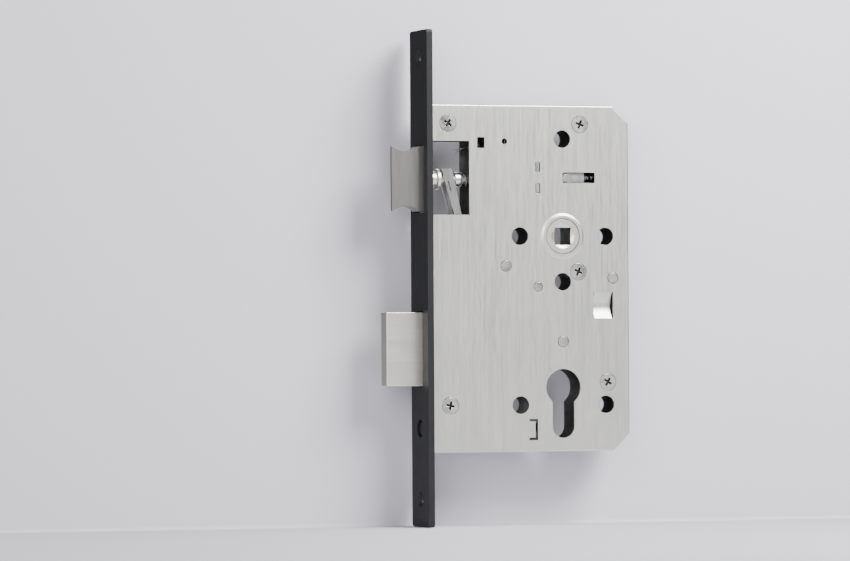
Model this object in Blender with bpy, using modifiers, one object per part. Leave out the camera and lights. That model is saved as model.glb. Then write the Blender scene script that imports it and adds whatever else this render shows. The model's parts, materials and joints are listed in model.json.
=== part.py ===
"""A mortise lock: forend, two-piece case, bevelled latch, dead bolt and the works between them.

X runs from the forend into the door, -Y is the side of the cover and its screws, and +Z is up.
The origin is the middle of the forend's front face. All sizes are in metres.
"""

import math

import bmesh
import bpy
from mathutils import Matrix, Vector

# ---------------------------------------------------------------- driving sizes
GAP = 0.0003                  # space between pieces that touch
RUN = 0.0003                  # radial clearance of a pin in its hole

FOREND_HEIGHT = 0.235
FOREND_WIDTH = 0.024
FOREND_THICKNESS = 0.003
FOREND_CORNER = 0.0015
FOREND_EDGE = 0.0004
FIXING_SPACING = 0.209        # between the two wood screws of the forend
FIXING_RADIUS = 0.0024
FIXING_HEAD_RADIUS = 0.0039

BACKSET = 0.070               # forend face to spindle
CENTRES = 0.072               # spindle to cylinder
HUB_Z = 0.020
CASE_HEIGHT = 0.165
CASE_BEHIND_HUB = 0.034
CASE_THICKNESS = 0.014
CASE_CHAMFER = 0.008
CASE_EDGE = 0.0009
PLATE = 0.0012
COVER_RIM = 0.0035            # how deep the cover's folded rim reaches

ROSE_OFFSET = 0.0217          # spindle to each rose screw
ROSE_RADIUS = 0.0042
CYLINDER_RADIUS = 0.00875
CYLINDER_HEIGHT = 0.0329
CYLINDER_WEB = 0.011
CYLINDER_ROSE_DROP = 0.0083   # the lower rose screws under the cylinder's axis
TOP_HOLE_RISE = 0.0463

HUB_COLLAR_RADIUS = 0.0082
HUB_BODY_RADIUS = 0.0092
HUB_BOSS_RADIUS = 0.0098
HUB_MOUTH_RADIUS = 0.0060     # the countersink round the spindle's square
HUB_MOUTH_DEPTH = 0.0009
HUB_BOSS_RISE = 0.0007
SPINDLE_SQUARE = 0.0082

LATCH_Z = 0.047
LATCH_HEIGHT = 0.0307
LATCH_WIDTH = 0.0135
LATCH_REACH = 0.016           # how far it stands out of the forend
LATCH_TAIL = 0.0045           # how deep its head goes behind the forend's face
LATCH_LAND = 0.00165          # the flat strip at its tip
LATCH_SCOOP_DEPTH = 0.0024
LATCH_SCOOP_CHORD = 0.0133
LATCH_SIDE_CLEARANCE = 0.0005
LATCH_ROD_RADIUS = 0.0022
LATCH_COLLAR_RADIUS = 0.0035
WINDOW_DEPTH = 0.0229         # forend face to the window's far edge
WINDOW_LOW = 0.030
WINDOW_HIGH = 0.065

BOLT_RISE = 0.0185            # the bolt's middle over the cylinder's axis
BOLT_Z = HUB_Z - CENTRES + BOLT_RISE
BOLT_HEIGHT = 0.035
BOLT_WIDTH = 0.008
BOLT_REACH = 0.018
BOLT_BEHIND = 0.006
BOLT_CLEARANCE = 0.0005
TAIL_THICKNESS = 0.003
TAIL_HEIGHT = 0.0145

SCREW_HEAD_RADIUS = 0.0040
CROSS_TURNS = {"top_front": 35, "top_back": 20, "middle": 25, "bottom_front": 12, "bottom_back": 30}
SCREW_RADIUS = 0.0018
POST_RADIUS = 0.003
PIN_RADIUS = 0.0025
SMALL_PIN_RADIUS = 0.00205
CYLINDER_SCREW_DROP = 0.019   # under the cylinder's axis
CYLINDER_SCREW_RADIUS = 0.0024
CYLINDER_SCREW_HEAD = 0.0033
CYLINDER_SCREW_SEAT = 0.00425

# ---------------------------------------------------------------- places worked out from them
CASE_FRONT = FOREND_THICKNESS + GAP
CASE_BACK = BACKSET + CASE_BEHIND_HUB
HALF_CASE = CASE_THICKNESS / 2
INNER = HALF_CASE - PLATE     # half the space between the two plates
SEAM = -HALF_CASE + COVER_RIM
HUB = (BACKSET, HUB_Z)
CYLINDER = (BACKSET, HUB_Z - CENTRES)

SCREWS = {
    "top_front": (CASE_FRONT + 0.009, CASE_HEIGHT / 2 - 0.0091),
    "top_back": (BACKSET + 0.0091, CASE_HEIGHT / 2 - 0.0091),
    "middle": (BACKSET + 0.008, HUB_Z - 0.0169),
    "bottom_front": (CASE_FRONT + 0.0095, CYLINDER[1] - CYLINDER_ROSE_DROP),
    "bottom_back": (BACKSET + 0.0228, CYLINDER[1] + 0.0025),
}
LEVER_PIN = (BACKSET - 0.0288, HUB_Z - 0.0141)
BACK_PIN = (BACKSET + 0.0257, HUB_Z - 0.0199)
GUIDE_PIN = (BACKSET + 0.0001, BOLT_Z + 0.0034)
TUMBLER_PIN = (BACKSET - 0.0125, HUB_Z - 0.024)
ROD_GUIDE_X = BACKSET - 0.0124
SPRING_POST = (BACKSET - 0.0293, LATCH_Z + 0.018)
SLIDE_Z = HUB_Z + 0.0279
LINK_STUD = (BACKSET, HUB_Z + 0.0125)
LEVER_KNEE_X = 0.0187
STUD_SHARE = 0.6222           # how far along from the lever's pin to its knee the stud stands
LEVER_STUD = (LEVER_PIN[0] - STUD_SHARE * (LEVER_PIN[0] - LEVER_KNEE_X), LEVER_PIN[1] + 0.016)

ROSE_HOLES = [
    (HUB[0] - ROSE_OFFSET, HUB[1]),
    (HUB[0] + ROSE_OFFSET, HUB[1]),
    (HUB[0], HUB[1] - ROSE_OFFSET),
    (HUB[0], HUB[1] + TOP_HOLE_RISE),
    (CYLINDER[0] - ROSE_OFFSET, CYLINDER[1] - CYLINDER_ROSE_DROP),
    (CYLINDER[0] + ROSE_OFFSET, CYLINDER[1] - CYLINDER_ROSE_DROP),
]

# layers across the case, from the cover side to the far side
NEAR_LAYER = (-INNER + 0.0004, -0.0025)
CHEEK_INNER = LATCH_ROD_RADIUS + GAP
CHEEK_OUTER = CHEEK_INNER + 0.0014
FAR_LAYER = (CHEEK_OUTER + GAP, INNER - GAP)


# ---------------------------------------------------------------- scene and materials
def clear_scene():
    for obj in list(bpy.data.objects):
        bpy.data.objects.remove(obj)


def new_collection(name):
    group = bpy.data.collections.new(name)
    bpy.context.scene.collection.children.link(group)
    return group


def metal(name, colour, roughness, metallic=1.0):
    mat = bpy.data.materials.new(name)
    mat.use_nodes = True
    shader = mat.node_tree.nodes["Principled BSDF"]
    shader.inputs["Base Color"].default_value = (*colour, 1.0)
    shader.inputs["Roughness"].default_value = roughness
    shader.inputs["Metallic"].default_value = metallic
    return mat


FINISHES = {
    "black_coat": ((0.024, 0.024, 0.026), 0.5, 0.0),
    "brushed_steel": ((0.62, 0.62, 0.60), 0.34, 1.0),
    "satin_nickel": ((0.62, 0.60, 0.54), 0.36, 1.0),
    "zinc_plate": ((0.56, 0.57, 0.58), 0.4, 1.0),
    "bright_screw": ((0.66, 0.63, 0.57), 0.28, 1.0),
    "spring_steel": ((0.45, 0.45, 0.46), 0.3, 1.0),
    "pressed_steel": ((0.5, 0.5, 0.49), 0.42, 1.0),
    "black_screw": ((0.03, 0.03, 0.032), 0.42, 0.6),
}


def keep(obj, finish, origin=(0, 0, 0), sharp=35):
    """Name a finished piece's material, shade it and put its origin where it turns or rests."""
    colour, roughness, metallic = FINISHES[finish]
    obj.data.materials.clear()
    obj.data.materials.append(metal(obj.name + "_" + finish, colour, roughness, metallic))
    obj.data.shade_smooth()
    obj.data.set_sharp_from_angle(angle=math.radians(sharp))
    obj.data.transform(Matrix.Translation(-Vector(origin)))
    obj.location = origin
    return obj


def link(name, mesh, group):
    obj = bpy.data.objects.new(name, mesh)
    group.objects.link(obj)
    if group is cutters:
        obj.hide_render = True
        obj.display_type = "WIRE"
    return obj


# ---------------------------------------------------------------- outlines
def arc(centre, radius, start, end, steps):
    """Points of an arc, angles in degrees, both ends included."""
    turns = [math.radians(start + (end - start) * i / steps) for i in range(steps + 1)]
    return [(centre[0] + radius * math.cos(t), centre[1] + radius * math.sin(t)) for t in turns]


def circle(centre, radius, sides=28):
    return arc(centre, radius, 0, 360 - 360 / sides, sides - 1)


def rectangle(low, high):
    return [(low[0], low[1]), (high[0], low[1]), (high[0], high[1]), (low[0], high[1])]


def rounded(points, radius, steps=3):
    """The same outline with each corner turned into an arc; a single radius or one for each."""
    radii = radius if isinstance(radius, list) else [radius] * len(points)
    out = []
    for i, point in enumerate(points):
        corner = Vector(point)
        before = (Vector(points[i - 1]) - corner).normalized()
        after = (Vector(points[(i + 1) % len(points)]) - corner).normalized()
        if radii[i] <= 0:
            out.append(tuple(corner))
            continue
        half = before.angle(after) / 2
        centre = corner + (before + after).normalized() * radii[i] / math.sin(half)
        first = corner + before * radii[i] / math.tan(half) - centre
        last = corner + after * radii[i] / math.tan(half) - centre
        for step in range(steps + 1):
            share = step / steps
            spoke = first.normalized().slerp(last.normalized(), share)
            out.append(tuple(centre + spoke * radii[i]))
    return out


def slot(start, end, radius, steps=6):
    """A slot with round ends between two centres."""
    heading = math.degrees(math.atan2(end[1] - start[1], end[0] - start[0]))
    return (arc(start, radius, heading + 90, heading + 270, steps)
            + arc(end, radius, heading - 90, heading + 90, steps))


def strap(start, end, start_radius, end_radius, steps=8):
    """A tapering lever with a round end at each centre."""
    return_angle = math.degrees(math.atan2(end[1] - start[1], end[0] - start[0]))
    length = math.hypot(end[0] - start[0], end[1] - start[1])
    lean = math.degrees(math.acos((start_radius - end_radius) / length))
    return (arc(start, start_radius, return_angle + lean, return_angle + 360 - lean, steps)
            + arc(end, end_radius, return_angle - lean, return_angle + lean, steps))


def case_outline(inset, front):
    high = CASE_HEIGHT / 2 - inset
    back = CASE_BACK - inset
    cut = CASE_CHAMFER - inset * (2 - math.sqrt(2))
    round_corner = 0.0015
    points = [(front, -high), (back - cut, -high), (back, -high + cut),
              (back, high - cut), (back - cut, high), (front, high)]
    return rounded(points, [0] + [round_corner] * 4 + [0], 2)


def cylinder_outline():
    """The profile of a cylinder: a circle on top and a narrower web with a round foot."""
    x, z = CYLINDER
    half = CYLINDER_WEB / 2
    lean = math.degrees(math.asin(half / CYLINDER_RADIUS))
    foot = z + CYLINDER_RADIUS - CYLINDER_HEIGHT + half
    return (arc(CYLINDER, CYLINDER_RADIUS, -90 + lean, 270 - lean, 28)
            + arc((x, foot), half, 180, 360, 10))


# ---------------------------------------------------------------- solids
AXES = {
    "X": Matrix(((0, 0, 1), (1, 0, 0), (0, 1, 0))),     # outline in Y and Z
    "Y": Matrix(((1, 0, 0), (0, 0, -1), (0, 1, 0))),    # outline in X and Z
}


def plate(name, outlines, low, high, axis="Y", group=None):
    """A flat piece: closed outlines, filled, between two places along an axis."""
    curve = bpy.data.curves.new(name + "_outline", "CURVE")
    curve.dimensions = "2D"
    curve.fill_mode = "BOTH"
    curve.extrude = (high - low) / 2
    for points in outlines:
        spline = curve.splines.new("POLY")
        spline.points.add(len(points) - 1)
        for spot, (u, v) in zip(spline.points, points):
            spot.co = (u, v, 0, 1)
        spline.use_cyclic_u = True
    guide = bpy.data.objects.new(name + "_guide", curve)
    parts.objects.link(guide)
    shift = Vector(((low + high) / 2, 0, 0)) if axis == "X" else Vector((0, (low + high) / 2, 0))
    guide.matrix_world = Matrix.Translation(shift) @ AXES[axis].to_4x4()
    return mesh_from(name, guide, group)


def mesh_from(name, guide, group=None):
    """Turn a curve into a closed mesh with its caps joined, and take the curve away."""
    bpy.context.view_layer.update()
    seen = guide.evaluated_get(bpy.context.evaluated_depsgraph_get())
    mesh = bpy.data.meshes.new_from_object(seen)
    mesh.transform(guide.matrix_world)
    bpy.data.objects.remove(guide)
    bm = bmesh.new()
    bm.from_mesh(mesh)
    bmesh.ops.remove_doubles(bm, verts=bm.verts, dist=0.00001)
    bmesh.ops.recalc_face_normals(bm, faces=bm.faces)
    bm.to_mesh(mesh)
    bm.free()
    mesh.name = name
    return link(name, mesh, group or parts)


def box(name, low, high, group=None):
    bm = bmesh.new()
    bmesh.ops.create_cube(bm, size=1)
    size = Vector(high) - Vector(low)
    bmesh.ops.scale(bm, vec=size, verts=bm.verts)
    bmesh.ops.translate(bm, vec=Vector(low) + size / 2, verts=bm.verts)
    mesh = bpy.data.meshes.new(name)
    bm.to_mesh(mesh)
    bm.free()
    return link(name, mesh, group or parts)


def cone(name, start, end, radius, end_radius=None, sides=24, group=None):
    """A cylinder, or a cone where the end radius differs, from one point to another."""
    start, end = Vector(start), Vector(end)
    way = end - start
    bm = bmesh.new()
    bmesh.ops.create_cone(bm, cap_ends=True, segments=sides, radius1=radius,
                          radius2=radius if end_radius is None else end_radius, depth=way.length)
    turn = Vector((0, 0, 1)).rotation_difference(way.normalized()).to_matrix().to_4x4()
    bmesh.ops.transform(bm, matrix=Matrix.Translation((start + end) / 2) @ turn, verts=bm.verts)
    mesh = bpy.data.meshes.new(name)
    bm.to_mesh(mesh)
    bm.free()
    return link(name, mesh, group or parts)


def turned(name, profile, start, axis, sides=24):
    """A turned piece: (distance along, radius) pairs, from the tip at start along an axis."""
    length = profile[-1][0]
    mesh = bpy.data.meshes.new(name)
    mesh.from_pydata([(radius, 0, length - along) for along, radius in profile],
                     [(i, i + 1) for i in range(len(profile) - 1)], [])
    blank = bpy.data.objects.new(name + "_profile", mesh)
    parts.objects.link(blank)
    screw = blank.modifiers.new("Turn", "SCREW")
    screw.axis = "Z"
    screw.angle = math.tau
    screw.steps = screw.render_steps = sides
    screw.use_merge_vertices = True
    screw.merge_threshold = 0.00001
    way = -Vector(axis).normalized()
    turn = Vector((0, 0, 1)).rotation_difference(way).to_matrix().to_4x4()
    blank.matrix_world = Matrix.Translation(Vector(start) - way * length) @ turn
    return mesh_from(name, blank)


def coil(name, start, axis, length, radius, wire, turns, legs=((), ()), across=None):
    """A wire coil from a start point along an axis; legs are extra points before and after it."""
    start, axis = Vector(start), Vector(axis).normalized()
    across = Vector(across).normalized() if across else axis.orthogonal().normalized()
    third = axis.cross(across)
    per_turn = 10
    points = [Vector(p) for p in legs[0]]
    for i in range(int(per_turn * turns) + 1):
        angle = math.tau * i / per_turn
        spoke = across * math.cos(angle) + third * math.sin(angle)
        points.append(start + axis * length * i / (per_turn * turns) + spoke * radius)
    points += [Vector(p) for p in legs[1]]
    curve = bpy.data.curves.new(name + "_wire", "CURVE")
    curve.dimensions = "3D"
    curve.bevel_depth = wire
    curve.bevel_resolution = 2
    curve.use_fill_caps = True
    spline = curve.splines.new("POLY")
    spline.points.add(len(points) - 1)
    for spot, point in zip(spline.points, points):
        spot.co = (*point, 1)
    guide = bpy.data.objects.new(name + "_guide", curve)
    parts.objects.link(guide)
    return mesh_from(name, guide)


def fold(obj, face):
    """Round the edges of a side plate where its rim is folded over, all but the one at the forend."""
    bm = bmesh.new()
    bm.from_mesh(obj.data)
    edges = []
    for edge in bm.edges:
        ends = [vert.co for vert in edge.verts]
        on_face = all(abs(co.y - face) < 0.00001 for co in ends)
        at_front = all(abs(co.x - CASE_FRONT) < 0.00001 for co in ends)
        flat = edge.calc_face_angle() < 0.5
        if on_face and not at_front and not flat:
            edges.append(edge)
    bmesh.ops.bevel(bm, geom=edges, offset=CASE_EDGE, segments=3, profile=0.5, affect="EDGES")
    bm.to_mesh(obj.data)
    bm.free()


def use(obj, other, operation):
    step = obj.modifiers.new(operation.title(), "BOOLEAN")
    step.operation = operation
    step.solver = "EXACT"
    step.object = other


def cut(obj, *tools):
    for tool in tools:
        use(obj, tool, "DIFFERENCE")


def join(obj, *pieces):
    """Fuse helper solids into a piece, leaving one body."""
    for piece in pieces:
        use(obj, piece, "UNION")


def ease(obj, width, segments=2, angle=40):
    step = obj.modifiers.new("Edge", "BEVEL")
    step.width = width
    step.segments = segments
    step.limit_method = "ANGLE"
    step.angle_limit = math.radians(angle)
    step.use_clamp_overlap = True


def at(spot, y):
    return (spot[0], y, spot[1])


def polar(centre, radius, angle):
    turn = math.radians(angle)
    return (centre[0] + radius * math.cos(turn), centre[1] + radius * math.sin(turn))


# ---------------------------------------------------------------- forend
def make_forend():
    half_width, half_height = FOREND_WIDTH / 2, FOREND_HEIGHT / 2
    outline = rounded(rectangle((-half_width, -half_height), (half_width, half_height)), FOREND_CORNER, 4)
    forend = plate("forend", [outline], 0, FOREND_THICKNESS, "X")
    ease(forend, FOREND_EDGE)

    latch_half = LATCH_HEIGHT / 2 + LATCH_SIDE_CLEARANCE
    latch_side = LATCH_WIDTH / 2 + LATCH_SIDE_CLEARANCE
    bolt_half = BOLT_HEIGHT / 2 + BOLT_CLEARANCE
    bolt_side = BOLT_WIDTH / 2 + BOLT_CLEARANCE
    seat = (0, CYLINDER[1] - CYLINDER_SCREW_DROP)
    openings = [
        rounded(rectangle((-latch_side, LATCH_Z - latch_half), (latch_side, LATCH_Z + latch_half)), 0.0004, 2),
        rounded(rectangle((-bolt_side, BOLT_Z - bolt_half), (bolt_side, BOLT_Z + bolt_half)), 0.0004, 2),
        circle(seat, CYLINDER_SCREW_SEAT),
    ]
    cut(forend, plate("forend_openings", openings, -0.01, 0.02, "X", cutters))
    sink = 0.0016
    for side, z in (("top", FIXING_SPACING / 2), ("bottom", -FIXING_SPACING / 2)):
        cut(forend,
            cone("fixing_hole_" + side, (-0.01, 0, z), (0.02, 0, z), FIXING_RADIUS, group=cutters),
            cone("fixing_sink_" + side, (-0.0001, 0, z), (sink, 0, z),
                 FIXING_HEAD_RADIUS, FIXING_RADIUS, group=cutters))
    for name, z in STUDS.items():
        hole = cone("stud_hole_" + name, (FOREND_THICKNESS - STUD_DEPTH - GAP, 0, z),
                    (CASE_FRONT + 0.01, 0, z), STUD_RADIUS + GAP, sides=16, group=cutters)
        cut(forend, hole)
        stud_holes.append(hole)
    keep(forend, "black_coat")


STUD_RADIUS = 0.0015
STUD_DEPTH = 0.0018           # how deep a stud sits in the forend's back
STUDS = {"top": CASE_HEIGHT / 2 - 0.008, "middle": 0.008, "bottom": -CASE_HEIGHT / 2 + 0.005}


def make_studs():
    for name, z in STUDS.items():
        head = CASE_FRONT + PLATE + GAP
        stud = turned("forend_stud_" + name,
                      [(0, 0), (0, 0.0024), (0.001, 0.0024), (0.001, STUD_RADIUS),
                       (0.001 + head - FOREND_THICKNESS + STUD_DEPTH, STUD_RADIUS),
                       (0.001 + head - FOREND_THICKNESS + STUD_DEPTH, 0)],
                      (head + 0.001, 0, z), (-1, 0, 0), 16)
        keep(stud, "zinc_plate")


# ---------------------------------------------------------------- case
def through_openings():
    """What is open in both plates, and the pins' holes."""
    openings = [circle(spot, ROSE_RADIUS) for spot in ROSE_HOLES]
    openings.append(cylinder_outline())
    openings.append(circle(HUB, HUB_COLLAR_RADIUS + GAP, 48))
    for spot in (LEVER_PIN, BACK_PIN, GUIDE_PIN):
        openings.append(circle(spot, PIN_RADIUS + RUN, 28))
    openings.append(circle(TUMBLER_PIN, SMALL_PIN_RADIUS + RUN, 28))
    for z in ROD_GUIDE_TABS:
        openings.append(rectangle((ROD_GUIDE_X - ROD_GUIDE_THICKNESS / 2 - GAP, z - ROD_GUIDE_TAB / 2 - GAP),
                                  (ROD_GUIDE_X + ROD_GUIDE_THICKNESS / 2 + GAP, z + ROD_GUIDE_TAB / 2 + GAP)))
    return plate("through_openings", openings, -0.02, 0.02, "Y", cutters)


ROD_GUIDE_THICKNESS = 0.0018
ROD_GUIDE_TAB = 0.004
ROD_GUIDE_TABS = (LATCH_Z - 0.0042, LATCH_Z + 0.006)
SLIDE_SLOT = ((BACKSET + 0.0002, SLIDE_Z - 0.0025), (BACKSET + 0.0166, SLIDE_Z + 0.0025))
TONGUE = ((BACKSET + 0.0157, HUB_Z - 0.0392), (BACKSET + 0.0256, HUB_Z - 0.0268))
SPRING_HOLE = ((BACKSET - 0.0430, LATCH_Z + 0.0147), (BACKSET - 0.0394, LATCH_Z + 0.0199))
TAB_CUT = ((BACKSET - 0.0174, CYLINDER[1] - 0.025), (BACKSET - 0.0131, CYLINDER[1] - 0.0149))
TONGUE_DEPTH = 0.0023         # how far the bridge between its two slits is pressed inwards
TONGUE_SLIT = 0.0005
LEG_HOLE_RADIUS = 0.0014


def make_cover():
    """The screwed side plate: a face with a shallow folded rim, open towards the forend."""
    outer = plate("cover_plate", [case_outline(0, CASE_FRONT)], -HALF_CASE, 0.004, "Y")
    fold(outer, -HALF_CASE)
    boss = cone("hub_boss", at(HUB, -HALF_CASE - HUB_BOSS_RISE), at(HUB, -INNER - PLATE / 2),
                HUB_BOSS_RADIUS, HUB_BOSS_RADIUS + 0.0022, 48, cutters)
    join(outer, boss)
    cavity = plate("cover_cavity", [case_outline(PLATE, -0.02)], -INNER, 0.02, "Y", cutters)
    trim = box("cover_trim", (-0.03, SEAM, -1), (1, 0.03, 1), cutters)
    (low, high) = TAB_CUT
    kerf = 0.0012
    tab = [low, (high[0], low[1]), high, (low[0], high[1]), (low[0], high[1] - kerf),
           (high[0] - kerf, high[1] - kerf), (high[0] - kerf, low[1] + kerf), (low[0], low[1] + kerf)]
    near = [
        rounded(rectangle(*SLIDE_SLOT), 0.0005, 2),
        rectangle(*TONGUE),
        rectangle(*SPRING_HOLE),
        circle(SPRING_POST, LEG_HOLE_RADIUS, 16),
        tab,
    ]
    cut(outer, cavity, trim, shared["window"], shared["openings"],
        plate("cover_openings", near, -0.02, -0.001, "Y", cutters))
    for name, spot in SCREWS.items():
        sink = cone("sink_" + name, at(spot, -HALF_CASE - 0.0001), at(spot, -INNER + 0.0001),
                    SCREW_HEAD_RADIUS + GAP + 0.0001, SCREW_RADIUS + 0.0007, 32, cutters)
        cut(outer, sink)
    (low, high) = TONGUE
    steps = 10
    outside = []
    for i in range(steps + 1):
        inwards = TONGUE_DEPTH * math.sin(math.pi * i / steps)
        outside.append((-HALF_CASE + 0.0002 + inwards, low[1] + (high[1] - low[1]) * i / steps))
    outside = [(outside[0][0], low[1] - 0.0004)] + outside + [(outside[-1][0], high[1] + 0.0004)]
    inside = [(y + PLATE - 0.0003, z) for y, z in reversed(outside)]
    lip = plate("tongue", [outside + inside], low[0] + TONGUE_SLIT, high[0] - TONGUE_SLIT, "X", cutters)
    join(outer, lip)
    keep(outer, "brushed_steel")


def make_tray():
    """The deep half of the case: far plate, folded walls and the wall behind the forend."""
    outer = plate("case_tray", [case_outline(0, CASE_FRONT)], -0.006, HALF_CASE, "Y")
    fold(outer, HALF_CASE)
    cavity = plate("tray_cavity", [case_outline(PLATE, CASE_FRONT + PLATE)], -0.02, INNER, "Y", cutters)
    trim = box("tray_trim", (-0.03, -0.03, -1), (1, SEAM + GAP, 1), cutters)
    bolt_half = BOLT_HEIGHT / 2 + BOLT_CLEARANCE
    bolt_side = BOLT_WIDTH / 2 + BOLT_CLEARANCE
    passage = box("bolt_passage", (0, -bolt_side, BOLT_Z - bolt_half),
                  (CASE_FRONT + PLATE * 2, bolt_side, BOLT_Z + bolt_half), cutters)
    z = CYLINDER[1] - CYLINDER_SCREW_DROP
    screw_way = cone("cylinder_screw_way", (0, 0, z), (CASE_FRONT + PLATE * 2, 0, z),
                     CYLINDER_SCREW_RADIUS + GAP, group=cutters)
    spigots = plate("post_holes", [circle(s, SPIGOT_RADIUS + RUN, 20) for s in SCREWS.values()],
                    0, 0.02, "Y", cutters)
    cut(outer, cavity, trim, shared["window"], shared["openings"], passage, screw_way, spigots)
    cut(outer, *stud_holes)
    keep(outer, "brushed_steel")


SPIGOT_RADIUS = 0.0024


def cross_arm(name, spot, turn):
    """One arm of a screw's cross recess, turned about the screw."""
    arm, wide, deep = 0.0021, 0.00055, 0.0011
    tool = box(name, (-arm, -HALF_CASE - 0.001, -wide), (arm, -HALF_CASE + deep, wide), cutters)
    tool.data.transform(Matrix.Translation(at(spot, 0)) @ Matrix.Rotation(math.radians(turn), 4, "Y"))
    return tool


def make_posts_and_screws():
    """Each post is staked into the far plate, and a countersunk screw holds the cover to it."""
    head_depth = PLATE + 0.0003
    shank = 0.007
    for name, spot in SCREWS.items():
        post = turned("screw_post_" + name,
                      [(0, 0), (0, SPIGOT_RADIUS), (PLATE + GAP, SPIGOT_RADIUS), (PLATE + GAP, POST_RADIUS),
                       (HALF_CASE + INNER - 2 * GAP, POST_RADIUS), (HALF_CASE + INNER - 2 * GAP, 0)],
                      at(spot, HALF_CASE), (0, -1, 0), 20)
        bore = cone("post_bore_" + name, at(spot, -INNER - 0.001), at(spot, -INNER + shank + 0.0006),
                    SCREW_RADIUS + GAP, sides=20, group=cutters)
        cut(post, bore)
        keep(post, "zinc_plate")
        screw = turned("cover_screw_" + name,
                       [(0, 0), (0, SCREW_HEAD_RADIUS), (0.0002, SCREW_HEAD_RADIUS),
                        (head_depth, SCREW_RADIUS), (head_depth + shank - 0.0008, SCREW_RADIUS),
                        (head_depth + shank, SCREW_RADIUS * 0.6), (head_depth + shank, 0)],
                       at(spot, -HALF_CASE - 0.00005), (0, 1, 0), 32)
        for arm_turn in (0, 90):
            cut(screw, cross_arm("cross_%d_%s" % (arm_turn, name), spot, CROSS_TURNS[name] + arm_turn))
        keep(screw, "bright_screw")


def make_pins():
    for name, spot, radius in (("lever_pin", LEVER_PIN, PIN_RADIUS), ("back_pin", BACK_PIN, PIN_RADIUS),
                               ("bolt_guide_pin", GUIDE_PIN, PIN_RADIUS),
                               ("tumbler_pin", TUMBLER_PIN, SMALL_PIN_RADIUS)):
        pin = cone(name, at(spot, -HALF_CASE - 0.0001), at(spot, HALF_CASE + 0.0001), radius, sides=28)
        keep(pin, "zinc_plate")
    post = cone("spring_post", at(SPRING_POST, -0.0021), at(SPRING_POST, INNER - GAP), 0.0015, sides=16)
    keep(post, "zinc_plate")


def make_rod_guide():
    """A cross plate that the latch rod slides in, its four tabs staked in the two side plates."""
    half = ROD_GUIDE_THICKNESS / 2
    low, high = ROD_GUIDE_TABS
    body = rectangle((-INNER + GAP, low - 0.0028), (INNER - GAP, high + 0.0028))
    guide = plate("rod_guide", [body], ROD_GUIDE_X - half, ROD_GUIDE_X + half, "X")
    for i, z in enumerate(ROD_GUIDE_TABS):
        tabs = box("guide_tab_%d" % i, (ROD_GUIDE_X - half + 0.0001, -HALF_CASE + 0.0001, z - ROD_GUIDE_TAB / 2),
                   (ROD_GUIDE_X + half - 0.0001, HALF_CASE - 0.0001, z + ROD_GUIDE_TAB / 2), cutters)
        join(guide, tabs)
    bore = [circle((0, LATCH_Z), LATCH_ROD_RADIUS + GAP, 20)]
    cut(guide, plate("guide_bore", bore, 0.03, 0.08, "X", cutters))
    keep(guide, "zinc_plate")


def make_cylinder_screw():
    """The long screw through the forend that holds the cylinder."""
    z = CYLINDER[1] - CYLINDER_SCREW_DROP
    recess = 0.0008
    head = 0.0019
    tip = BACKSET - CYLINDER_WEB / 2 - 0.004
    screw = turned("cylinder_screw",
                   [(0, 0), (0, CYLINDER_SCREW_HEAD - 0.0004), (0.0004, CYLINDER_SCREW_HEAD),
                    (head, CYLINDER_SCREW_HEAD), (head, CYLINDER_SCREW_RADIUS),
                    (tip - recess - 0.001, CYLINDER_SCREW_RADIUS),
                    (tip - recess, CYLINDER_SCREW_RADIUS * 0.6), (tip - recess, 0)],
                   (recess, 0, z), (1, 0, 0), 20)
    keep(screw, "black_screw")


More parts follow.
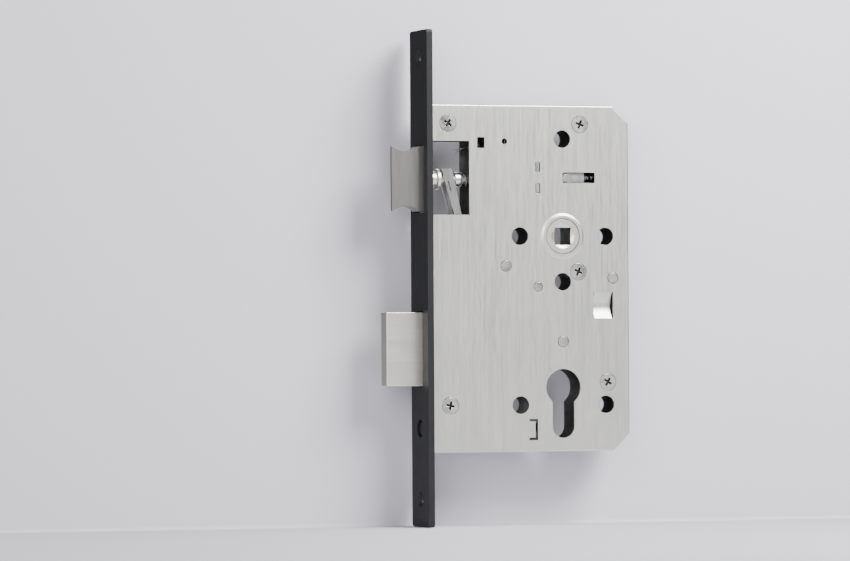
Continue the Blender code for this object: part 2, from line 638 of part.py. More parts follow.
# ---------------------------------------------------------------- latch
def make_latch():
    side = LATCH_WIDTH / 2
    low, high = LATCH_Z - LATCH_HEIGHT / 2, LATCH_Z + LATCH_HEIGHT / 2
    flank = (LATCH_REACH, LATCH_WIDTH - LATCH_LAND - 0.0017)
    foot_x = (side + side - LATCH_LAND) * flank[0] / flank[1] - LATCH_REACH
    outline = [(-LATCH_REACH, -side), (LATCH_TAIL, -side), (LATCH_TAIL, side), (foot_x, side),
               (-LATCH_REACH, -side + LATCH_LAND)]
    head = plate("latch_head", [[(x, -y) for x, y in outline]], low, high, "Y")
    head.data.transform(Matrix.Rotation(math.pi / 2, 4, "X"))
    ease(head, 0.0003, 2, 25)
    radius = (LATCH_SCOOP_CHORD ** 2 / 4 + LATCH_SCOOP_DEPTH ** 2) / (2 * LATCH_SCOOP_DEPTH)
    middle = -LATCH_REACH + 0.0007 + LATCH_SCOOP_CHORD / 2
    for i, (edge, way) in enumerate(((high, 1), (low, -1))):
        z = edge + way * (radius - LATCH_SCOOP_DEPTH)
        cut(head, cone("latch_scoop_%d" % i, (middle, -0.02, z), (middle, 0.02, z), radius, sides=72,
                       group=cutters))
    z = LATCH_Z
    socket = cone("rod_socket", (-0.004, 0, z), (LATCH_TAIL + 0.01, 0, z), LATCH_ROD_RADIUS + GAP,
                  sides=20, group=cutters)
    pin_x = 0.0016
    pin_radius = 0.0009
    pin_hole = cone("latch_pin_hole", (pin_x, -0.02, z), (pin_x, 0.02, z), pin_radius + RUN, sides=12,
                    group=cutters)
    notch = box("leg_notch", (-0.0008, -0.0026, z + 0.0085), (LATCH_TAIL + 0.01, -0.0004, z + 0.03), cutters)
    cut(head, socket, pin_hole, notch)
    keep(head, "satin_nickel")
    keep(cone("latch_pin", (pin_x, -side + 0.0002, z), (pin_x, side - 0.0002, z), pin_radius, sides=12),
         "zinc_plate")

    boss_start = LATCH_TAIL + GAP
    front, collar_face = -0.004 + GAP, LEVER_FACE + GAP
    rod_end = ROD_GUIDE_X + 0.0014
    marks = [(0, 0), (0, LATCH_ROD_RADIUS), (boss_start - front, LATCH_ROD_RADIUS),
             (boss_start - front, 0.0036), (boss_start + 0.0003 - front, 0.0039),
             (FLANGE_FACE - 0.0018 - front, 0.0039), (FLANGE_FACE - 0.0018 - front, 0.0047),
             (FLANGE_FACE - 0.0015 - front, 0.0050), (FLANGE_FACE - 0.0003 - front, 0.0050),
             (FLANGE_FACE - front, 0.0047), (FLANGE_FACE - front, LATCH_ROD_RADIUS), (rod_end - 0.0005 - front, LATCH_ROD_RADIUS),
             (rod_end - front, LATCH_ROD_RADIUS - 0.0005), (rod_end - front, 0)]
    rod = turned("latch_rod", marks, (front, 0, z), (1, 0, 0), 20)
    cut(rod, pin_hole)
    keep(rod, "satin_nickel")
    collar_end = collar_face + 0.0024
    collar = plate("latch_collar", [circle((0, z), LATCH_COLLAR_RADIUS, 24),
                                    circle((0, z), LATCH_ROD_RADIUS + 0.0001, 20)],
                   collar_face, collar_end, "X")
    keep(collar, "zinc_plate")
    wire = 0.00035
    start = collar_end + GAP + wire
    length = ROD_GUIDE_X - ROD_GUIDE_THICKNESS / 2 - GAP - wire - start
    keep(coil("latch_spring", (start, 0, z), (1, 0, 0), length, 0.0031, wire, 8), "spring_steel")


FLANGE_FACE = 0.0098          # the far side of the flange on the latch rod
LEVER_FACE = 0.0172           # where the lever's flank meets the rod's collar


def make_latch_lever():
    """Two cheeks astride the latch rod, joined by a bridge over it, on the lever pin."""
    lean = 0.283
    flank_lean = 0.217
    top = LATCH_Z + 0.005
    left, right = LEVER_FACE - 0.0070, LEVER_FACE - 0.0019
    drop = top - (HUB_Z + 0.008)
    boss = 0.0054
    x, z = LEVER_PIN
    outline = ([(right, top), (left, top), (left + lean * drop, top - drop)]
               + arc(LEVER_PIN, boss, 225, 405, 8)
               + [(right + flank_lean * drop, top - drop)])
    slit_low = (left + 0.0045, top - 0.0105)
    slit_high = (left + 0.0033, top - 0.0062)
    far = [outline, circle(LEVER_PIN, PIN_RADIUS + RUN, 20)]
    near = far + [slot(slit_low, slit_high, 0.0004, 3)]
    lever = plate("latch_lever", near, -CHEEK_OUTER, -CHEEK_INNER)
    far_cheek = plate("lever_far_cheek", far, CHEEK_INNER, CHEEK_OUTER, "Y", cutters)
    bridge = box("lever_bridge", (left + 0.0001, -CHEEK_OUTER + 0.0001, top - 0.0013),
                 (right - 0.0001, CHEEK_OUTER - 0.0001, top - 0.0001), cutters)
    stud = cone("lever_stud", at(LEVER_STUD, CHEEK_INNER + 0.0004), at(LEVER_STUD, FAR_LAYER[1]), 0.0016,
                sides=16, group=cutters)
    join(lever, bridge, far_cheek, stud)
    keep(lever, "pressed_steel", (x, 0, z))


def make_lever_spring():
    """The bent wire whose leg shows in the window, wound round its own post."""
    wire = 0.0005
    x, z = SPRING_POST
    radius = 0.0024
    leg = [(WINDOW_DEPTH - 0.0064, -0.0015, LATCH_Z + 0.0128), (x - 0.006, -0.0015, z + radius - 0.0012)]
    tail = [(x - 0.004, 0.0024, z - radius), (x - 0.0098, 0.0026, z - radius + 0.0008)]
    spring = coil("lever_spring", (x, -0.0015, z), (0, 1, 0), 0.0039, radius, wire, 3.5,
                  (leg, tail), across=(0, 0, 1))
    keep(spring, "spring_steel")


# ---------------------------------------------------------------- follower and what it drives
def make_follower():
    """The spindle's follower: collars in both plates, a lug for the link and an arm for the slide."""
    thick = INNER - GAP
    collar = HALF_CASE + HUB_BOSS_RISE - 0.0002
    body = turned("follower",
                  [(0, 0), (0, HUB_COLLAR_RADIUS), (collar - thick, HUB_COLLAR_RADIUS),
                   (collar - thick, HUB_BODY_RADIUS), (collar + thick, HUB_BODY_RADIUS),
                   (collar + thick, HUB_COLLAR_RADIUS), (2 * collar, HUB_COLLAR_RADIUS), (2 * collar, 0)],
                  at(HUB, -collar), (0, 1, 0), 48)
    half_arm = 0.0028
    x, z = HUB
    arm_top = z + FOLLOWER_ARM
    arm = plate("follower_arm", [rounded([(x - half_arm, z + 0.002), (x + half_arm, z + 0.002),
                                          (x + half_arm, arm_top), (x - half_arm, arm_top)],
                                         [0, 0, 0.0008, 0.0008], 2)],
                NEAR_LAYER[0], NEAR_LAYER[1], "Y", cutters)
    lug = plate("follower_lug", [slot((x, z + 0.003), LINK_STUD, half_arm - 0.0002)],
                NEAR_LAYER[0] + 0.0002, CHEEK_OUTER, "Y", cutters)
    stud = cone("follower_stud", at(LINK_STUD, 0), at(LINK_STUD, FAR_LAYER[1]), 0.002, sides=20, group=cutters)
    toe = plate("follower_toe", [slot(polar(HUB, 0.004, TOE_ANGLE), polar(HUB, TOE_REACH, TOE_ANGLE), 0.002)],
                FAR_LAYER[0] + 0.0001, FAR_LAYER[1] - 0.0001, "Y", cutters)
    half = SPINDLE_SQUARE / 2
    square = box("spindle_square", (x - half, -0.02, z - half), (x + half, 0.02, z + half), cutters)
    join(body, lug, arm, stud, toe)
    cut(body, square)
    for side in (-1, 1):
        cut(body, cone("spindle_mouth_%d" % side, at(HUB, side * (collar + 0.0001)),
                       at(HUB, side * (collar - HUB_MOUTH_DEPTH)), HUB_MOUTH_RADIUS,
                       HUB_MOUTH_RADIUS - 0.0016, 36, cutters))
    keep(body, "satin_nickel", (x, 0, z))


FOLLOWER_ARM = 0.0198
TOE_ANGLE = -42
TOE_REACH = 0.0112


SLIDE_END = BACKSET + 0.0118


def make_slide():
    """The sprung slide that brings the follower back, its pin running in the cover's slot."""
    x = BACKSET + 0.0028 + GAP
    low = SLIDE_Z - 0.0023
    foot = HUB_Z + 0.0134
    outline = [(x - 0.0025, low + 0.0003), (x, low + 0.0003), (x, foot), (x + 0.0026, foot),
               (x + 0.0026, low + 0.0001), (SLIDE_END, low), (SLIDE_END, low + 0.0046),
               (x - 0.0025, low + 0.0046)]
    slide = plate("spring_slide", [outline], *NEAR_LAYER)
    pin = cone("slide_pin", (x - 0.0009, -HALF_CASE + 0.0003, SLIDE_Z),
               (x - 0.0009, NEAR_LAYER[0] + 0.001, SLIDE_Z), 0.0018, sides=20, group=cutters)
    join(slide, pin)
    keep(slide, "satin_nickel")
    wire = 0.0003
    start = SLIDE_END + GAP + wire
    length = CASE_BACK - PLATE - GAP - wire - start
    middle = sum(NEAR_LAYER) / 2
    keep(coil("follower_spring", (start, middle, SLIDE_Z), (1, 0, 0), length, 0.0011, wire, 9), "spring_steel")


def make_draw_link():
    """The link from the follower's lug to the lever, beside the far plate."""
    knee = (BACKSET - 0.010, HUB_Z + 0.0168)
    bar = 0.0021
    piece = plate("draw_link", [strap(LEVER_STUD, knee, 0.0034, bar)], *FAR_LAYER)
    rear = plate("link_rear", [strap(knee, LINK_STUD, bar - 0.0001, 0.0030)],
                 FAR_LAYER[0] + 0.00005, FAR_LAYER[1] - 0.00005, "Y", cutters)
    join(piece, rear)
    eyes = [circle(LINK_STUD, 0.002 + RUN, 20), circle(LEVER_STUD, 0.0016 + 0.0006, 20)]
    cut(piece, plate("link_eyes", eyes, 0, 0.02, "Y", cutters))
    keep(piece, "pressed_steel", at(LINK_STUD, 0))


def make_change_lever():
    """The lever between the cylinder's bit and the follower's toe, on the back pin."""
    bend = (BACKSET + 0.0185, CYLINDER[1] + 0.0195)
    foot_tip = (BACKSET + 0.014, CYLINDER[1] + 0.0115)
    toe_end = polar(HUB, TOE_REACH, TOE_ANGLE)
    tip_radius = 0.0018
    finger_tip = polar(toe_end, 0.002 + tip_radius + 0.0005, TOE_ANGLE + 90)
    lever = plate("change_lever", [strap(BACK_PIN, bend, 0.0046, 0.0022)], *FAR_LAYER)
    low, high = FAR_LAYER[0] + 0.00005, FAR_LAYER[1] - 0.00005
    foot = plate("change_foot", [strap(bend, foot_tip, 0.0021, 0.0019)], low, high, "Y", cutters)
    finger = plate("change_finger", [strap(BACK_PIN, finger_tip, 0.0044, tip_radius)], low, high, "Y", cutters)
    join(lever, foot, finger)
    cut(lever, plate("change_bore", [circle(BACK_PIN, PIN_RADIUS + RUN, 20)], 0, 0.02, "Y", cutters))
    keep(lever, "pressed_steel", at(BACK_PIN, 0))


# ---------------------------------------------------------------- dead bolt
def make_dead_bolt():
    side = BOLT_WIDTH / 2
    low, high = BOLT_Z - BOLT_HEIGHT / 2, BOLT_Z + BOLT_HEIGHT / 2
    head = box("deadbolt_head", (-BOLT_REACH, -side, low), (BOLT_BEHIND, side, high))
    ease(head, 0.0004, 2)
    half_tail = TAIL_THICKNESS / 2
    tongue_low, tongue_high = BOLT_Z - 0.0085, BOLT_Z + 0.0085
    tongue_x = BOLT_BEHIND - 0.0055
    mouth = box("bolt_mouth", (tongue_x - GAP, -half_tail - GAP, tongue_low - GAP),
                (BOLT_BEHIND + 0.01, half_tail + GAP, tongue_high + GAP), cutters)
    cut(head, mouth)

    top = BOLT_Z + 0.0115
    bottom = top - TAIL_HEIGHT
    end = BACKSET + 0.008
    pass_end = BACKSET - 0.014
    fang = 0.006
    front_x, back_x = pass_end - fang, BACKSET - 0.005
    outline = [(tongue_x, tongue_low), (BOLT_BEHIND + GAP, tongue_low), (BOLT_BEHIND + 0.004, bottom),
               (front_x, bottom + 0.0001), (front_x, bottom - 0.0045), (pass_end, bottom - 0.0046),
               (pass_end, bottom + 0.0004), (back_x, bottom + 0.0003), (back_x, bottom - 0.002),
               (back_x + fang, bottom - 0.0021), (back_x + fang, bottom + 0.0006),
               (end, bottom + 0.0008), (end, top)]
    for x in (STUMP[0], STUMP[0] - BOLT_REACH):
        outline += [(x + 0.0030, top), (x + 0.0024, top - NOTCH), (x - 0.0024, top - NOTCH), (x - 0.0030, top)]
    outline += [(BOLT_BEHIND + GAP, top), (BOLT_BEHIND + GAP, tongue_high), (tongue_x, tongue_high)]
    way = PIN_RADIUS + GAP
    track = slot((GUIDE_PIN[0] - BOLT_REACH, GUIDE_PIN[1]), GUIDE_PIN, way)
    tail = plate("bolt_tail", [outline, track], -half_tail, half_tail)

    rivet_x = (tongue_x + BOLT_BEHIND) / 2 + 0.0004
    rivet_radius = 0.0013
    for name, z in (("upper", BOLT_Z + 0.0045), ("lower", BOLT_Z - 0.0045)):
        hole = cone("rivet_hole_" + name, (rivet_x, -0.02, z), (rivet_x, 0.02, z), rivet_radius + RUN,
                    sides=16, group=cutters)
        cut(head, hole)
        cut(tail, hole)
        rivet = cone("bolt_rivet_" + name, (rivet_x, -side + 0.0001, z), (rivet_x, side - 0.0001, z),
                     rivet_radius, sides=16)
        keep(rivet, "zinc_plate")
    keep(head, "satin_nickel")
    keep(tail, "zinc_plate")


NOTCH = 0.0026
STUMP_RADIUS = 0.0016
STUMP = (BACKSET - 0.030, BOLT_Z + 0.0115 + STUMP_RADIUS + GAP)


def make_tumbler():
    """The sprung tumbler whose stump drops into the notches of the bolt's tail."""
    thin = (TAIL_THICKNESS / 2 + 0.0004, TAIL_THICKNESS / 2 + 0.0021)
    x, z = TUMBLER_PIN
    belly = (BACKSET - 0.0085, CYLINDER[1] + 0.0185)
    lever = plate("tumbler", [strap(TUMBLER_PIN, STUMP, 0.0046, 0.0031)], *thin)
    low, high = thin[0] + 0.00005, thin[1] - 0.00005
    lobe = plate("tumbler_lobe", [strap(TUMBLER_PIN, belly, 0.0043, 0.0034)], low, high, "Y", cutters)
    stump = cone("tumbler_stump", at(STUMP, -TAIL_THICKNESS / 2 + 0.0001), at(STUMP, thin[1] - 0.0003),
                 STUMP_RADIUS, sides=16, group=cutters)
    join(lever, lobe, stump)
    cut(lever, plate("tumbler_bore", [circle(TUMBLER_PIN, SMALL_PIN_RADIUS + RUN, 20)], -0.02, 0.02, "Y", cutters))
    keep(lever, "pressed_steel", (x, 0, z))
    wire = 0.00025
    radius = SMALL_PIN_RADIUS + RUN + wire + 0.0001
    y = thin[1] + GAP + wire
    rise = INNER - GAP - wire - y
    legs = ([(x - 0.011, y, z - 0.0065), (x - 0.001, y, z - radius)],
            [(x - 0.001, y + rise, z + radius), (x - 0.009, y + rise, z + radius + 0.0022)])
    spring = coil("tumbler_spring", (x, y, z), (0, 1, 0), rise, radius, wire, 1.5, legs, across=(0, 0, -1))
    keep(spring, "spring_steel")


# ---------------------------------------------------------------- build
clear_scene()
parts = new_collection("mortise_lock")
cutters = new_collection("cutters")
stud_holes = []
shared = {
    "window": box("window_cutter", (0.0005, -0.02, WINDOW_LOW), (WINDOW_DEPTH, 0.02, WINDOW_HIGH), cutters),
    "openings": through_openings(),
}
make_forend()
make_studs()
make_cover()
make_tray()
make_posts_and_screws()
make_pins()
make_rod_guide()
make_cylinder_screw()
make_latch()
make_latch_lever()
make_lever_spring()
make_follower()
make_slide()
make_draw_link()
make_change_lever()
make_dead_bolt()
make_tumbler()
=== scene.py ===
"""The looks of a mortise lock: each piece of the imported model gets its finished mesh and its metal.

Pieces keep the frame's places and sizes. X runs from the forend into the door, -Y is the side of
the cover and its screws, and Z is up. Sizes are in metres.
"""

import json
import math

import bmesh
import bpy
from bpy.props import FloatProperty, FloatVectorProperty, IntProperty, PointerProperty
from bpy.types import Operator, Panel, PropertyGroup
from mathutils import Matrix, Vector


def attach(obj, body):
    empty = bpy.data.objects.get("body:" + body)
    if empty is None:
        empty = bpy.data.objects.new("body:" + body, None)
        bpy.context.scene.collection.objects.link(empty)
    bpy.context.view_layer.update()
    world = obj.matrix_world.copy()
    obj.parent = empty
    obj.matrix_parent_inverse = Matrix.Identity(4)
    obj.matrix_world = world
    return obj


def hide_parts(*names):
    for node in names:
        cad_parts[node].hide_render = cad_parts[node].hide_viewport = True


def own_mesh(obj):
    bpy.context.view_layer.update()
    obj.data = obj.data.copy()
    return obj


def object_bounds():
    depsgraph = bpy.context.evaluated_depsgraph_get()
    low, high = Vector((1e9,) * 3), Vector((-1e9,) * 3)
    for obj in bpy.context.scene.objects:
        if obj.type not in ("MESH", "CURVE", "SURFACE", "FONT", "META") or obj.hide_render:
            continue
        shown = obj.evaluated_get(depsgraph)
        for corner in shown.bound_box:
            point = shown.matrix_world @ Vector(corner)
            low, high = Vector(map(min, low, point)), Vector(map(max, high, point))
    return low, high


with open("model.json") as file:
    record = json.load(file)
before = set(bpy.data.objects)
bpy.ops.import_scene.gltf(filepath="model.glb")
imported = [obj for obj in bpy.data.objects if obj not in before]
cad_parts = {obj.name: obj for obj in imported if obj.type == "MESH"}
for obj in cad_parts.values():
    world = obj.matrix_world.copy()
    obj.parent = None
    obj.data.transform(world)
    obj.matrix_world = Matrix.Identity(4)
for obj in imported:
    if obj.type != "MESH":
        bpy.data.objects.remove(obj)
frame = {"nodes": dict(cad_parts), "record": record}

bl_info = {
    "name": "Mortise Lock",
    "version": (1, 0, 0),
    "blender": (4, 5, 0),
    "location": "View3D > Sidebar > Lock",
    "description": "Finishes the pieces of a mortise lock and sets its stage",
    "category": "Object",
}

CAD_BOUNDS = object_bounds()
BEHAVIOUR = frame["record"]["behaviour"]
BODY_OF = {node: body for body, nodes in BEHAVIOUR["bodies"].items() for node in nodes}

MERGE_DISTANCE = 0.000002        # corners nearer than this are one corner
FLAT_ANGLE = math.radians(0.6)   # faces that turn less than this are one face
BEVEL_ANGLE = math.radians(30)   # edges that turn more than this are broken
SHARP_ANGLE = math.radians(32)   # edges that turn more than this are shaded sharp
CASE_SKIN_DEPTH = 0.003          # how far in from the outer face the brushed skin can lie
SKIN_FACING = 0.85               # least part of a skin face's normal that points outward
WALL_FACING = 0.1                # greatest part of a bore wall's normal that lies along the bore
RECESS_TOP = 0.0001              # a cross recess starts this far under the screw's face
RECESS_FLOOR = 0.0013            # and ends this far under it
# Behind the slide's bright front the rest of it takes a darker steel, partly a duller sheet and
# partly painted shade in its recess.
SLIDE_SKIN = 0.0013              # depth of the slide's bright front
BUMP_STRENGTH = 0.35
COIL_STEPS = 24                  # straight pieces in one turn of a coil
CLOSED_PITCH = 2.1               # rise of a coil's closed end turn, in wire radii
# node, the joint that shortens it, that joint's travel, turns, radius of the wire
COILS = (("latch_spring", "latch_slide", 0.015, 9, 0.00035),
         ("follower_spring", "spring_slide_travel", 0.0125, 11, 0.0003))

FLOOR_GAP = 0.0002               # between the lock's lowest point and the floor
FLOOR_HALF_WIDTH = 3.5
FLOOR_REACH = 3.0
WALL_BEND = 0.002                # radius in which the floor turns up into the wall
WALL_HEIGHT = 2.6
WALL_STEPS = 12
SKY_TINT = (0.93, 0.94, 1.0, 1)
LIGHT_TARGET = Vector((0.03, 0, 0))
# name, setting that holds the power, place, size
LIGHTS = (("Key", "key_power", (0.36, -0.42, 0.52), (0.45, 0.35)),
          ("Fill", "fill_power", (-0.9, -1.2, 0.5), (1.0, 1.0)),
          ("Rim", "rim_power", (0.5, 1.3, 1.1), (1.2, 0.9)))


# ---------------------------------------------------------------- settings
def colour(name, description, default):
    return FloatVectorProperty(name=name, description=description, subtype="COLOR", size=3,
                               min=0, max=1, default=default)


def length(name, description, default):
    return FloatProperty(name=name, description=description, subtype="DISTANCE", unit="LENGTH",
                         default=default, precision=5)


def share(name, description, default):
    return FloatProperty(name=name, description=description, subtype="FACTOR", min=0, max=1,
                         default=default)


class LockFinishes(PropertyGroup):
    """Colours and surfaces of the lock's metals, with painted shade in the case's inside, the screw
    recesses, the latch head and the slide.
    """
    coat: colour("Coat", "Powder coat of the forend", (0.0125, 0.0125, 0.0142))
    coat_roughness: share("Coat roughness", "Gloss of the powder coat", 0.5)
    steel: colour("Case steel", "Brushed sheet of the case", (0.71, 0.703, 0.65))
    steel_roughness: share("Case roughness", "Gloss of the brushed sheet", 0.42)
    nickel: colour("Nickel", "Satin plate of the latch and the bolt", (0.84, 0.81, 0.72))
    # Painted shade: the latch colour is the nickel darkened to stand for the shade on the latch
    # head's faces.
    latch: colour("Latch nickel", "Duller plate of the cast latch head", (0.24, 0.236, 0.222))
    nickel_roughness: share("Nickel roughness", "Gloss of the satin plate", 0.4)
    # Painted shade in part: the slide colour is darkened beyond its duller sheet to stand for the
    # shade in its recess.
    slide: colour("Slide steel", "Dull sheet of the sprung slide", (0.27, 0.27, 0.255))
    screw: colour("Screw nickel", "Bright plate of the cover's screws", (0.86, 0.85, 0.81))
    # Painted shade: the inside of the case, its cut edges, the walls of its holes and the hub's bore
    # take this darker steel to stand for the shade that falls there.
    inner: colour("Inner sheet", "Greased inside of the case and its cut edges",
                  (0.15, 0.15, 0.148))
    zinc: colour("Zinc", "Plate of pins, posts and the bolt's tail", (0.78, 0.79, 0.78))
    pressed: colour("Pressed steel", "Bare sheet of the levers", (0.5, 0.5, 0.49))
    grain_width: length("Grain width", "Width of one line of the brushing", 0.00022)
    grain_length: length("Grain length", "Length of one line of the brushing", 0.009)


class LockDetails(PropertyGroup):
    """Sizes of the small finishing work."""
    half_case: length("Half case", "From the case's middle to its outer face", 0.007)
    case_corner: length("Case corner", "How near the cut corners a rim may lie", 0.0094)
    case_rim: length("Case rim", "How thick the skin of a rim is", 0.0011)
    spindle_square: length("Spindle square", "Half of the square that holds the spindle", 0.0043)
    recess: length("Recess", "Radius that a screw's cross recess keeps within", 0.0024)
    sheet_edge: length("Sheet edge", "Roundness of a punched sheet's edges", 0.00012)
    machined_edge: length("Machined edge", "Roundness of a turned or milled edge", 0.00015)
    spring_sides: IntProperty(name="Wire sides", description="Faces round a spring's wire",
                              min=6, max=24, default=10)


class LockStage(PropertyGroup):
    """The camera, the floor and the lights."""
    view_yaw: FloatProperty(name="View yaw", description="Turn of the view from the cover's face",
                            subtype="ANGLE", default=math.radians(19.48))
    view_pitch: FloatProperty(name="View pitch", description="Tilt of the view, down is positive",
                              subtype="ANGLE", default=math.radians(-0.85))
    view_roll: FloatProperty(name="View roll", description="Lean of the camera",
                             subtype="ANGLE", default=math.radians(-0.33))
    view_distance: length("View distance", "From the camera to the point it aims at", 2.362)
    aim: FloatVectorProperty(name="Aim", description="Point that the camera aims at",
                             subtype="XYZ", size=3, default=(0.00285, 0.00008, -0.00097))
    lens: FloatProperty(name="Lens", description="Focal length in mm on a 36 mm sensor",
                        default=211.3)
    floor: colour("Floor", "Pale floor and backdrop", (0.62, 0.615, 0.665))
    wall: length("Wall", "From the case's middle back to the backdrop", 0.018)
    key_power: FloatProperty(name="Key light", description="Watts", default=14.5)
    fill_power: FloatProperty(name="Fill light", description="Watts", default=17)
    rim_power: FloatProperty(name="Rim light", description="Watts, from behind", default=7)
    sky_strength: FloatProperty(name="Sky", description="Strength of the even light", default=0.22)


# ---------------------------------------------------------------- shader groups
SURFACE_OUTPUTS = [("Color", "NodeSocketColor"), ("Roughness", "NodeSocketFloat"),
                   ("Height", "NodeSocketFloat")]


def group_tree(name, inputs, outputs):
    tree = bpy.data.node_groups.new(name, "ShaderNodeTree")
    for label, kind, value in inputs:
        socket = tree.interface.new_socket(label, in_out="INPUT", socket_type=kind)
        if value is not None:
            socket.default_value = value
    for label, kind in outputs:
        tree.interface.new_socket(label, in_out="OUTPUT", socket_type=kind)
    return tree, tree.nodes.new("NodeGroupInput"), tree.nodes.new("NodeGroupOutput")


def add(tree, kind, **settings):
    node = tree.nodes.new(kind)
    for key, value in settings.items():
        setattr(node, key, value)
    return node


def noise(tree, vector, scale, detail, roughness=0.55):
    node = add(tree, "ShaderNodeTexNoise")
    node.inputs["Scale"].default_value = scale
    node.inputs["Detail"].default_value = detail
    node.inputs["Roughness"].default_value = roughness
    tree.links.new(vector, node.inputs["Vector"])
    return node.outputs["Fac"]


def remap(tree, value, low, high, to_low=0.0, to_high=1.0):
    node = add(tree, "ShaderNodeMapRange", clamp=True)
    for label, number in (("From Min", low), ("From Max", high),
                          ("To Min", to_low), ("To Max", to_high)):
        node.inputs[label].default_value = number
    tree.links.new(value, node.inputs["Value"])
    return node.outputs["Result"]


def maths(tree, operation, first, second):
    node = add(tree, "ShaderNodeMath", operation=operation)
    for socket, value in zip(node.inputs, (first, second)):
        if isinstance(value, (int, float)):
            socket.default_value = value
        else:
            tree.links.new(value, socket)
    return node.outputs[0]


def blend_colours(tree, factor, first, second):
    node = add(tree, "ShaderNodeMix", data_type="RGBA")
    tree.links.new(factor, node.inputs["Factor"])
    tree.links.new(first, node.inputs["A"])
    tree.links.new(second, node.inputs["B"])
    return node.outputs["Result"]


def brushing_group():
    """Fine drawn lines with longer, deeper ones among them, and the tone and relief they give."""
    tree, start, end = group_tree(
        "Brushing",
        [("Vector", "NodeSocketVector", None), ("Stretch", "NodeSocketVector", (1, 1, 1)),
         ("Light", "NodeSocketColor", None), ("Dark", "NodeSocketColor", None),
         ("Gloss", "NodeSocketFloat", 0.35), ("Spread", "NodeSocketFloat", 0.08)],
        SURFACE_OUTPUTS)
    drawn = add(tree, "ShaderNodeVectorMath", operation="MULTIPLY")
    tree.links.new(start.outputs["Vector"], drawn.inputs[0])
    tree.links.new(start.outputs["Stretch"], drawn.inputs[1])
    fine = noise(tree, drawn.outputs[0], 1.0, 2.0, 0.6)
    broad = noise(tree, drawn.outputs[0], 0.23, 2.0, 0.5)
    cloud = noise(tree, start.outputs["Vector"], 26.0, 3.0, 0.5)
    lines = maths(tree, "ADD", maths(tree, "MULTIPLY", fine, 0.7),
                  maths(tree, "MULTIPLY", broad, 0.3))
    mask = remap(tree, lines, 0.34, 0.66)
    tone = maths(tree, "ADD", maths(tree, "MULTIPLY", mask, 0.7),
                 maths(tree, "MULTIPLY", remap(tree, cloud, 0.3, 0.7), 0.3))
    shade = blend_colours(tree, tone, start.outputs["Dark"], start.outputs["Light"])
    tree.links.new(shade, end.inputs["Color"])
    rough = maths(tree, "MULTIPLY", maths(tree, "SUBTRACT", mask, 0.5), start.outputs["Spread"])
    tree.links.new(maths(tree, "ADD", start.outputs["Gloss"], rough), end.inputs["Roughness"])
    tree.links.new(lines, end.inputs["Height"])
    return tree


def coat_group():
    """The soft pebble of a powder coat, with a faint drift in its gloss."""
    tree, start, end = group_tree(
        "Powder coat",
        [("Vector", "NodeSocketVector", None), ("Light", "NodeSocketColor", None),
         ("Dark", "NodeSocketColor", None), ("Gloss", "NodeSocketFloat", 0.5),
         ("Pebble", "NodeSocketFloat", 3200.0)],
        SURFACE_OUTPUTS)
    pebble = add(tree, "ShaderNodeTexNoise")
    pebble.inputs["Detail"].default_value = 2.0
    tree.links.new(start.outputs["Vector"], pebble.inputs["Vector"])
    tree.links.new(start.outputs["Pebble"], pebble.inputs["Scale"])
    drift = noise(tree, start.outputs["Vector"], 34.0, 4.0)
    grains = remap(tree, pebble.outputs["Fac"], 0.3, 0.7)
    shade = blend_colours(tree, grains, start.outputs["Dark"], start.outputs["Light"])
    tree.links.new(shade, end.inputs["Color"])
    gloss = maths(tree, "MULTIPLY", maths(tree, "SUBTRACT", drift, 0.5), 0.22)
    tree.links.new(maths(tree, "ADD", start.outputs["Gloss"], gloss), end.inputs["Roughness"])
    tree.links.new(grains, end.inputs["Height"])
    return tree


def casting_group():
    """The fine tumbled skin of plated small parts, with duller patches where they were handled."""
    tree, start, end = group_tree(
        "Tumbled plate",
        [("Vector", "NodeSocketVector", None), ("Light", "NodeSocketColor", None),
         ("Dark", "NodeSocketColor", None), ("Gloss", "NodeSocketFloat", 0.3)],
        SURFACE_OUTPUTS)
    skin = noise(tree, start.outputs["Vector"], 2600.0, 3.0)
    patch = noise(tree, start.outputs["Vector"], 210.0, 3.0)
    dull = remap(tree, patch, 0.36, 0.66)
    shade = blend_colours(tree, dull, start.outputs["Dark"], start.outputs["Light"])
    tree.links.new(shade, end.inputs["Color"])
    spread = maths(tree, "MULTIPLY", maths(tree, "SUBTRACT", dull, 0.5), -0.14)
    tree.links.new(maths(tree, "ADD", start.outputs["Gloss"], spread), end.inputs["Roughness"])
    tree.links.new(skin, end.inputs["Height"])
    return tree


SHARED = {}


def shared_group(make):
    if make.__name__ not in SHARED:
        SHARED[make.__name__] = make()
    return SHARED[make.__name__]


def finish_material(name, make_group, tone, gloss, relief, metallic=1.0, contrast=0.12, **inputs):
    """A metal whose colour, gloss and relief come from one of the shared groups."""
    if name in bpy.data.materials:
        return bpy.data.materials[name]
    material = bpy.data.materials.new(name)
    material.use_nodes = True
    tree = material.node_tree
    shader = tree.nodes["Principled BSDF"]
    shader.inputs["Metallic"].default_value = metallic
    places = add(tree, "ShaderNodeTexCoord")
    group = add(tree, "ShaderNodeGroup", node_tree=shared_group(make_group))
    tree.links.new(places.outputs["Object"], group.inputs["Vector"])
    group.inputs["Light"].default_value = (*(min(1, c * (1 + contrast)) for c in tone), 1)
    group.inputs["Dark"].default_value = (*(c * (1 - contrast) for c in tone), 1)
    group.inputs["Gloss"].default_value = gloss
    for label, value in inputs.items():
        group.inputs[label].default_value = value
    tree.links.new(group.outputs["Color"], shader.inputs["Base Color"])
    tree.links.new(group.outputs["Roughness"], shader.inputs["Roughness"])
    bump = add(tree, "ShaderNodeBump")
    bump.inputs["Strength"].default_value = BUMP_STRENGTH
    bump.inputs["Distance"].default_value = relief
    tree.links.new(group.outputs["Height"], bump.inputs["Height"])
    tree.links.new(bump.outputs["Normal"], shader.inputs["Normal"])
    return material


